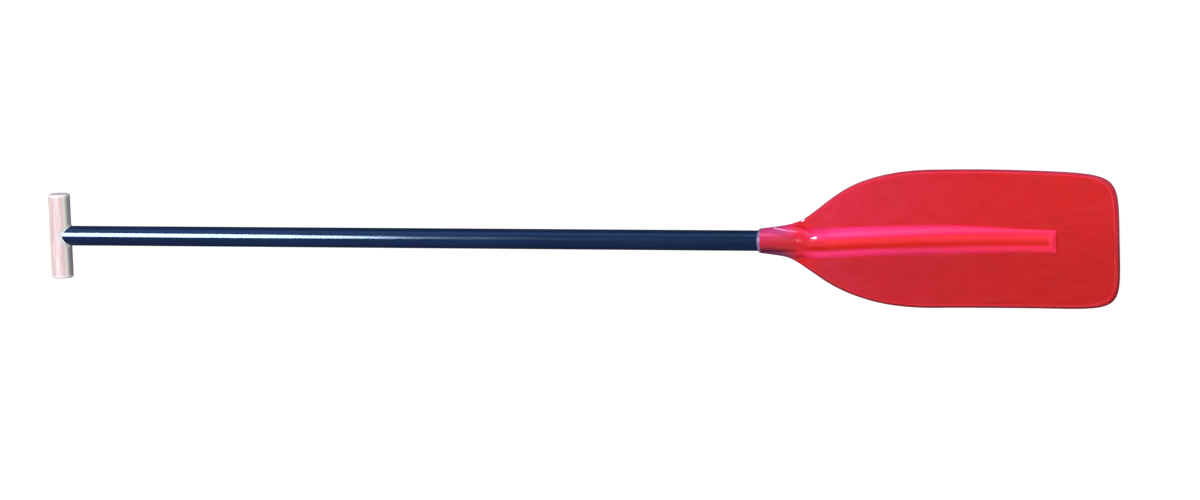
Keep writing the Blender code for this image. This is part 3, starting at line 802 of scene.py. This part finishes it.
def laminate_spine(s, colour, along, across, run):
    """Spine: pale pink flanks as painted light, and a deep line beside the crown as a painted dark
    reflection.

    Also painted shade near the neck over the crown and the +Y flank, a painted highlight on the step at
    its end, and a faint glow that stands for the light through its lower flank, near the neck.
    """
    foot = RIB_END + RIB_END_STEP
    spine = s.times(
        s.span(along, TUBE_IN_SOCKET + 1 * MM, TUBE_IN_SOCKET + 15 * MM),
        s.span(along, foot - 1.5 * MM, foot - 3 * MM),
        s.span(s.maths("ABSOLUTE", across), 1.05, 0.97),
    )
    line = s.span(along, 100 * MM, 410 * MM, -0.25, -0.12, "LINEAR")
    away = s.maths("SUBTRACT", across, line)
    # Painted dark reflection: a deep line beside the crown
    crown = s.mix(s.span(away, 0.42, 0.0), (0.80, 0.016, 0.030), (0.63, 0.0110, 0.0060))
    # Painted light: pale pink flanks
    low_flank = s.mix(run, (1.00, 0.042, 0.190), (1.00, 0.032, 0.085))
    high_flank = s.mix(run, (1.00, 0.042, 0.240), (0.94, 0.020, 0.080))
    glow = s.mix(s.span(away, -0.05, -0.42), crown, low_flank)
    glow = s.mix(s.span(away, 0.42, 0.85), glow, high_flank)
    # Painted shade near the neck, over the crown and the +Y flank
    near = s.times(s.span(along, 108 * MM, 80 * MM), s.span(away, -0.35, 0.0))
    glow = s.mix(near, glow, s.tinted(glow, (0.85, 0.70, 0.78)))
    # Painted highlight on the step at the spine's end
    end_highlight = s.times(s.span(along, RIB_END - 6 * MM, RIB_END), 0.8)
    glow = s.mix(end_highlight, glow, (1.00, 0.030, 0.100))
    through = s.times(spine, s.span(away, -0.10, -0.45), s.span(along, 240 * MM, 110 * MM))
    through = s.mix(through, (0.0, 0.0, 0.0), (0.20, 0.008, 0.040))
    return s.mix(spine, colour, glow), through


def laminate_shoulder(s, colour, along, aside):
    """Beside the tube: painted shade on its -Y flank and painted light on its +Y flank, then deep and
    pale bands across the shoulders.
    """
    outer = s.span(along, 28 * MM, 46 * MM)
    # Painted shade on the -Y flank, painted light on the +Y flank
    low_flank = s.mix(outer, (0.21, 0.048, 0.130), (0.48, 0.040, 0.085))
    high_flank = s.mix(outer, (0.58, 0.042, 0.200), (0.76, 0.026, 0.105))
    flank = s.mix(s.span(aside, -5 * MM, 5 * MM), low_flank, high_flank)
    beside_tube = s.span(s.maths("ABSOLUTE", aside), 11 * MM, 15 * MM)
    colour = s.mix(s.times(s.span(along, 60 * MM, 48 * MM), beside_tube), colour, flank)
    band = s.ramp(
        aside,
        (-24 * MM, (0.62, 0.012, 0.020)),
        (-20 * MM, (0.66, 0.014, 0.022)),
        (-16 * MM, (0.74, 0.018, 0.035)),
        (-10 * MM, (0.61, 0.018, 0.030)),
        (0.0, (0.58, 0.008, 0.013)),
        (8 * MM, (0.68, 0.012, 0.042)),
        (15 * MM, (0.79, 0.014, 0.045)),
        (21 * MM, (0.69, 0.010, 0.020)),
        (28 * MM, (0.54, 0.009, 0.018)),
    )
    shoulder = s.times(s.span(along, 44 * MM, 53 * MM), s.span(along, 84 * MM, 60 * MM))
    return s.mix(shoulder, colour, band)


def laminate_tube(s, colour, place, along, aside):
    """Over the tube: its dark wall shows through, with streaks along it, and across it painted light
    toward +Y, a painted reflection as a pale band, and painted shade toward -Y.
    """
    # Painted light toward +Y, a painted reflection as a pale band near +10 mm, painted shade toward -Y
    mouth = s.ramp(
        aside,
        (-15 * MM, (0.12, 0.020, 0.040)),
        (-12.5 * MM, (0.11, 0.014, 0.036)),
        (-10 * MM, (0.21, 0.018, 0.042)),
        (-7 * MM, (0.37, 0.022, 0.040)),
        (-3 * MM, (0.49, 0.015, 0.036)),
        (1.5 * MM, (0.54, 0.012, 0.062)),
        (6 * MM, (0.58, 0.018, 0.080)),
        (7.4 * MM, (0.60, 0.028, 0.110)),
        (9.2 * MM, (0.78, 0.080, 0.220)),
        (10.6 * MM, (0.74, 0.072, 0.210)),
        (12.5 * MM, (0.60, 0.028, 0.122)),
        (15.5 * MM, (0.62, 0.021, 0.155)),
    )
    far = s.ramp(
        aside,
        (-15 * MM, (0.36, 0.040, 0.060)),
        (-11.5 * MM, (0.30, 0.006, 0.010)),
        (-9 * MM, (0.41, 0.022, 0.018)),
        (-6.5 * MM, (0.48, 0.026, 0.036)),
        (-3 * MM, (0.48, 0.013, 0.017)),
        (1 * MM, (0.49, 0.011, 0.014)),
        (3.5 * MM, (0.54, 0.011, 0.030)),
        (8 * MM, (0.58, 0.017, 0.068)),
        (10.6 * MM, (0.67, 0.030, 0.120)),
        (13 * MM, (0.63, 0.040, 0.160)),
        (15.4 * MM, (0.62, 0.050, 0.200)),
    )
    wall = s.mix(s.span(along, 6 * MM, 44 * MM), mouth, far)
    shade = s.times(
        s.span(along, 14 * MM, 27 * MM),
        s.span(along, 43 * MM, 30 * MM),
        s.span(aside, 10.5 * MM, 12.5 * MM),
    )
    wall = s.mix(shade, wall, s.tinted(wall, (0.70, 0.95, 1.0)))
    # Painted shade: duskier on the -Y side near the mouth
    lower = s.times(s.span(along, 44 * MM, 32 * MM), s.span(aside, -7 * MM, -12 * MM))
    wall = s.mix(lower, wall, s.tinted(wall, (0.60, 0.5, 0.9)))
    streak = s.noise(s.scaled(place, (16, 260, 260)), 1.0, 3.0)
    wall = s.mix(s.span(streak, 0.45, 0.75, 0.0, 0.3), wall, (0.36, 0.012, 0.026))
    tube = s.span(along, TUBE_IN_SOCKET + 1 * MM, TUBE_IN_SOCKET - 7 * MM)
    body = s.span(s.maths("ABSOLUTE", aside), SHAFT_R + 0.9 * MM, SHAFT_R - 0.3 * MM)
    return s.mix(s.times(tube, body), colour, wall)


def laminate_glint_line(s, colour, along, aside):
    """A painted glint: a pale line slanting across the neck."""
    off_line = s.maths("MULTIPLY_ADD", along, GLINT_LINE_SLOPE, s.maths("SUBTRACT", aside, GLINT_LINE_ASIDE))
    # Painted glint along the slanting line
    lap = s.times(
        s.span(s.maths("ABSOLUTE", off_line), 1.0 * MM, 0.4 * MM),
        s.span(along, 14 * MM, 20 * MM),
        s.span(along, 56 * MM, 51 * MM),
    )
    outer = s.span(along, 28 * MM, 46 * MM)
    return s.mix(lap, colour, s.mix(outer, (0.97, 0.38, 0.66), (0.94, 0.18, 0.42)))


def laminate_edge(s, colour, along, edge, lit_side):
    """Beside the rim: more resin and less glass, so a purer red, then a dark line at the very edge that
    is partly painted shade; both lighter on the +Y side, as painted light.
    """
    at_tip = s.span(along, BLADE_LENGTH - 42 * MM, BLADE_LENGTH - 18 * MM)
    inset = s.maths("MULTIPLY_ADD", at_tip, 1.7 * MM, edge)
    # Painted light: both lines lighter on the +Y side; the dark edge line partly painted shade
    line = s.mix(lit_side, (0.58, 0.014, 0.022), (0.76, 0.018, 0.045))
    colour = s.mix(s.span(inset, 4.0 * MM, 2.4 * MM), colour, line)
    line = s.mix(lit_side, (0.21, 0.005, 0.009), (0.50, 0.010, 0.045))
    return s.mix(s.span(inset, 1.7 * MM, 0.7 * MM), colour, line)


def laminate_cloth(s, colour, place, axes):
    """Woven cloth: warp and weft, each a wave that the other goes over and under. Colour and height."""
    pitch = 2.4 * MM
    waves = [s.maths("SINE", s.times(axes.outputs[axis], math.pi / pitch)) for axis in (0, 1)]
    thread = s.noise(s.scaled(place, (700, 700, 300)), 1.0, 3.0, 0.6)
    cloth = s.span(s.maths("MULTIPLY_ADD", thread, 1.4, s.times(*waves)), -0.5, 1.9)
    pale = s.mix(0.5, colour, (0.95, 0.10, 0.13))
    colour = s.mix(s.times(cloth, 0.12), colour, pale)
    mottle = s.noise(s.scaled(place, (130, 160, 160)), 1.0, 3.0, 0.6)
    mottle = s.span(mottle, 0.35, 0.8, 0.0, 0.16)
    return s.mix(mottle, colour, s.tinted(colour, (0.55, 0.4, 0.5))), cloth


def red_laminate():
    """Glass cloth in clear red resin: painted light and shade over the spine, darker over the tube in the
    neck.
    """
    s = Shader("red_laminate")
    place = s.place()
    along, across, edge = s.stored("along"), s.stored("across"), s.stored("edge")
    axes = s.add("SeparateXYZ", {0: place})
    aside = s.maths("SUBTRACT", axes.outputs[1], HEAD.y)
    cloud = s.noise(s.scaled(place, (9, 12, 12)), 1.0, 4.0, 0.55)
    run = s.maths("MULTIPLY_ADD", cloud, 0.25, s.span(along, 30 * MM, 420 * MM, -0.125, 0.875))
    # Share of the +Y side, for painted light there and painted shade on the -Y side
    lit_side = s.span(s.maths("MULTIPLY_ADD", cloud, 0.03, axes.outputs[1]), -45 * MM, 75 * MM)
    colour = laminate_face(s, place, run, lit_side)
    colour, through = laminate_spine(s, colour, along, across, run)
    colour = laminate_shoulder(s, colour, along, aside)
    colour = laminate_tube(s, colour, place, along, aside)
    colour = laminate_glint_line(s, colour, along, aside)
    colour = laminate_edge(s, colour, along, edge, lit_side)
    colour, cloth = laminate_cloth(s, colour, place, axes)
    s.set(Base_Color=colour, Emission_Color=through, Emission_Strength=1.0)
    scuff = s.noise(s.scaled(place, (20, 260, 260)), 1.0, 4.0, 0.65)
    s.set(Roughness=s.span(scuff, 0.3, 0.8, 0.08, 0.17), IOR=1.5)
    ripple = s.bump(s.noise(place, 55.0, 2.0), 0.25 * MM, 0.2)
    s.set(Normal=s.bump(cloth, 0.03 * MM, 0.25, ripple))
    return s.material


def rim_resin():
    """Resin-rich edge: deepest at the very edge, partly painted shade, and lighter on the +Y side as
    painted light; a pure red across the tip's broad band.
    """
    s = Shader("rim_resin")
    inward = s.stored("inward")
    cloud = s.noise(s.place(), 60.0, 3.0)
    axes = s.add("SeparateXYZ", {0: s.place()})
    # Painted light on the +Y side, painted shade on the -Y side; the dark edge partly painted shade
    lit_side = s.span(axes.outputs[1], -50 * MM, 50 * MM)
    dark = s.mix(lit_side, (0.20, 0.006, 0.010), (0.33, 0.018, 0.055))
    inner = s.mix(lit_side, (0.18, 0.005, 0.009), (0.46, 0.012, 0.050))
    dark = s.mix(s.span(inward, 1.0 * MM, 1.6 * MM), dark, inner)
    colour = s.mix(s.span(inward, 2.2 * MM, 2.9 * MM), dark, (0.455, 0.0030, 0.008))
    colour = s.mix(s.span(inward, 5.0 * MM, 5.7 * MM, 0.0, 0.6), colour, (0.60, 0.020, 0.032))
    colour = s.mix(s.span(cloud, 0.3, 0.8, 0.0, 0.3), colour, (0.40, 0.006, 0.010))
    # Filed by hand where it runs out beside the socket, so dull there
    filed = s.span(axes.outputs[0], HEAD.x + 170 * MM, HEAD.x + 95 * MM, 0.0, 0.5)
    rough = s.maths("ADD", s.span(cloud, 0.3, 0.7, 0.10, 0.20), filed)
    s.set(Base_Color=colour, Roughness=rough, IOR=1.5)
    return s.material


def clear_glue(name, pale, deep, clear):
    """Cured clear resin, a little milky; its colour is partly a painted reflection of the colours beside
    it.
    """
    s = Shader(name)
    cloud = s.noise(s.place(), 260.0, 3.0)
    colour = s.mix(s.span(cloud, 0.35, 0.7), pale, deep)
    s.set(Base_Color=colour, Roughness=s.span(cloud, 0.3, 0.7, 0.06, 0.16), IOR=1.5)
    s.set(Transmission_Weight=clear)
    return s.material


def aluminium():
    """Drawn tube, with fine lines along it."""
    s = Shader("drawn_aluminium")
    lines = s.noise(s.scaled(s.place(), (4, 1600, 1600)), 1.0, 3.0, 0.6)
    colour = s.mix(s.span(lines, 0.3, 0.7), (0.62, 0.63, 0.65), (0.80, 0.81, 0.82))
    s.set(Base_Color=colour, Metallic=1.0, Roughness=s.span(lines, 0.3, 0.7, 0.25, 0.42))
    return s.material


def cork():
    """Pressed cork, each grain its own brown."""
    s = Shader("pressed_cork")
    grains = s.add("TexVoronoi", {"Vector": s.place(), "Scale": 420.0}).outputs["Color"]
    colour = s.mix(0.6, (0.50, 0.34, 0.20), s.tinted(grains, (0.62, 0.46, 0.31)))
    s.set(Base_Color=colour, Roughness=0.85)
    return s.material


def bond():
    """Cured adhesive, cloudy."""
    s = Shader("bonding_resin")
    cloud = s.noise(s.place(), 180.0, 4.0)
    s.set(Base_Color=s.mix(cloud, (0.50, 0.42, 0.30), (0.68, 0.61, 0.48)), Roughness=0.4)
    return s.material


def balsa():
    """Light core wood, with its grain along the spine."""
    s = Shader("balsa_core")
    grain = s.noise(s.scaled(s.place(), (20, 700, 700)), 1.0, 4.0, 0.6)
    s.set(Base_Color=s.mix(grain, (0.68, 0.54, 0.36), (0.86, 0.74, 0.55)), Roughness=0.7)
    return s.material


def cut_bore(bar, made):
    """Bores the crossbar for the spigot and applies the cut."""
    low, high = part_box("grip_dowel")
    radius = (high.y - low.y) / 2 + CLEAR
    start = -SPIGOT_PAST_AXIS - CLEAR
    sections = [
        [
            (x, radius * math.cos(a), radius * math.sin(a))
            for a in (2 * math.pi * i / BORE_SIDES for i in range(BORE_SIDES))
        ]
        for x in (start, 2 * GRIP_R)
    ]
    tool = bpy.data.objects.new("bore_tool", swept("bore_tool", sections, False))
    bpy.context.scene.collection.objects.link(tool)
    modifier = bar.modifiers.new("bore", "BOOLEAN")
    modifier.operation = "DIFFERENCE"
    modifier.solver = "EXACT"
    modifier.object = tool
    bpy.context.view_layer.update()
    graph = bpy.context.evaluated_depsgraph_get()
    cut = bpy.data.meshes.new_from_object(bar.evaluated_get(graph))
    bar.modifiers.clear()
    cut.name = "grip_bar_fine"
    cut.materials.clear()
    cut.materials.append(made)
    cut.shade_smooth()
    cut.set_sharp_from_angle(angle=math.radians(SHARP))
    mark_ends(cut)
    bar.data = cut
    bpy.data.objects.remove(tool)


def dress():
    """The pieces that show, and the materials of those that don't."""
    grip_wood = wood(
        "grip_wood",
        pale=(0.775, 0.595, 0.605),
        late=(0.65, 0.44, 0.46),
        spacing=3.9 * MM,
        pith=(-7.8 * MM, -31.5 * MM),
        slant=(0.012, 0.008),
        gloss=0.42,
        painted_light_share=0.9,
    )
    spigot_wood = wood(
        "spigot_wood",
        pale=(0.70, 0.54, 0.40),
        late=(0.56, 0.40, 0.27),
        spacing=2.2 * MM,
        pith=(4 * MM, -9 * MM),
        slant=(0.0, 0.0),
        gloss=0.55,
    )
    bar = add("grip_bar_fine", make_grip_bar("grip_bar_fine"), grip_wood, "grip_wood", "grip_bar")
    cut_bore(bar, grip_wood)
    grip_glue = clear_glue("grip_glue", (0.92, 0.91, 0.90), (0.80, 0.84, 0.78), 0.35)
    # Lavender: a painted reflection of the red neck and the navy sleeve beside it
    neck_glue = clear_glue("neck_glue", (0.40, 0.27, 0.50), (0.24, 0.14, 0.30), 0.35)
    laminate = red_laminate()
    fillet = make_fillet("grip_glue_fine")
    add("grip_glue_fine", fillet, grip_glue, "clear_glue", "grip_glue_fillet")
    add("sleeve_fine", make_sleeve("sleeve_fine"), navy_sleeve(), "navy_sleeve", "shaft_sleeve")
    add("neck_bead_fine", make_bead("neck_bead_fine"), neck_glue, "clear_glue", "neck_bead")
    front = make_skin("front_skin_fine", 1)
    add("front_skin_fine", front, laminate, "red_laminate", "blade_front_skin")
    back = make_skin("back_skin_fine", -1)
    add("back_skin_fine", back, laminate, "red_laminate", "blade_back_skin")
    add("rim_fine", make_rim("rim_fine"), rim_resin(), "rim_resin", "blade_rim")
    inside = {
        "grip_dowel": spigot_wood,
        "shaft_tube": aluminium(),
        "tube_plug": cork(),
        "socket_bond": bond(),
        "spine_core": balsa(),
    }
    for node, made in inside.items():
        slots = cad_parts[node].data.materials
        slots.clear()
        slots.append(made)


def floor():
    """A plain pale floor that only the camera sees, bright by its own light, so shadows hardly show."""
    data = bpy.data.meshes.new("floor")
    size = 12.0
    corners = [(-size, -size, 0), (size, -size, 0), (size, size, 0), (-size, size, 0)]
    data.from_pydata(corners, [], [(0, 1, 2, 3)])
    s = Shader("pale_floor")
    s.set(Base_Color=(0.16, 0.16, 0.16, 1.0), Roughness=0.9, Specular_IOR_Level=0.0)
    s.set(Emission_Color=(1.0, 1.0, 1.0, 1.0), Emission_Strength=0.94)
    s.material.cycles.emission_sampling = "NONE"
    data.materials.append(s.material)
    made = bpy.data.objects.new("floor", data)
    bpy.context.scene.collection.objects.link(made)
    made.visible_diffuse = made.visible_glossy = False
    made.visible_transmission = made.visible_shadow = False


def lamp(
    name, place, target, size, power, colour=(1, 1, 1), diffuse=True, glossy=True, roll=0.0,
    shape="RECTANGLE",
):
    """An area light aimed at a target, its size along its own X and Y, rolled by degrees."""
    data = bpy.data.lights.new(name, "AREA")
    data.shape = shape
    data.size, data.size_y = size
    data.energy = power
    data.color = colour
    made = bpy.data.objects.new(name, data)
    made.location = place
    aim = (Vector(target) - Vector(place)).to_track_quat("-Z", "Y")
    made.rotation_euler = (aim @ Euler((0.0, 0.0, math.radians(roll))).to_quaternion()).to_euler()
    made.visible_diffuse = diffuse
    made.visible_glossy = glossy
    bpy.context.scene.collection.objects.link(made)


def light():
    """Soft light from above and behind, and a long soft box and a blue wall that only gloss shows."""
    world = bpy.data.worlds.new("studio")
    world.use_nodes = True
    nodes, links = world.node_tree.nodes, world.node_tree.links
    axes = nodes.new("ShaderNodeSeparateXYZ")
    links.new(nodes.new("ShaderNodeTexCoord").outputs["Generated"], axes.inputs[0])

    def blend(axis, low, high, first, second):
        """Sky from one colour to another along an axis."""
        ramp = nodes.new("ShaderNodeMapRange")
        ramp.interpolation_type = "SMOOTHSTEP"
        ramp.inputs["From Min"].default_value = low
        ramp.inputs["From Max"].default_value = high
        links.new(axes.outputs[axis], ramp.inputs["Value"])
        mix = nodes.new("ShaderNodeMix")
        mix.data_type = "RGBA"
        links.new(ramp.outputs["Result"], mix.inputs[0])
        for socket, value in ((mix.inputs[6], first), (mix.inputs[7], second)):
            if isinstance(value, tuple):
                socket.default_value = (*value, 1.0)
            else:
                links.new(value, socket)
        return mix.outputs[2]

    sky = blend("Z", -0.15, 0.35, (0.06, 0.06, 0.08), (0.12, 0.13, 0.15))
    sky = blend("X", -0.62, -0.92, sky, (0.80, 0.77, 0.72))
    links.new(sky, nodes["Background"].inputs["Color"])
    bpy.context.scene.world = world
    lamp("key", (-0.2, 0.5, 6.0), (0.0, 0.0, 0.0), size=(5.0, 4.0), power=412.0, glossy=False)
    lamp("fill", (0.0, 6.0, 1.6), (0.0, 0.0, 0.0), size=(8.0, 3.0), power=190.0, glossy=False)
    lamp(
        "strip",
        (-5.65, 4.0, 10.0),
        (-5.65, 4.0, 0.0),
        size=(2.6, 9.4),
        power=2600.0,
        colour=(0.54, 0.75, 1.0),
        diffuse=False,
        roll=14.0,
        shape="ELLIPSE",
    )
    lamp(
        "wall",
        (-3.0, 7.0, 3.1),
        (-3.0, 0.0, 3.1),
        size=(12.0, 5.8),
        power=230.0,
        colour=(0.19, 0.457, 1.0),
        diffuse=False,
    )


def camera():
    """The photograph's camera, fitted in the shaft's frame: focal length in pixels of the wide side."""
    place = Vector((2.7486, 0.8682, 6.2))
    turn = Euler((-0.14547, 0.29535, -0.03481))
    focal_pixels, wide_pixels = 4609.1, 1200
    data = bpy.data.cameras.new("camera")
    data.sensor_width = 36.0
    data.lens = focal_pixels / wide_pixels * data.sensor_width
    data.clip_end = 100.0
    made = bpy.data.objects.new("camera", data)
    made.matrix_world = BASE @ Matrix.Translation(place) @ turn.to_matrix().to_4x4()
    bpy.context.scene.collection.objects.link(made)
    bpy.context.scene.camera = made


dress()
floor()
light()
camera()
bpy.context.scene.view_settings.view_transform = "Standard"
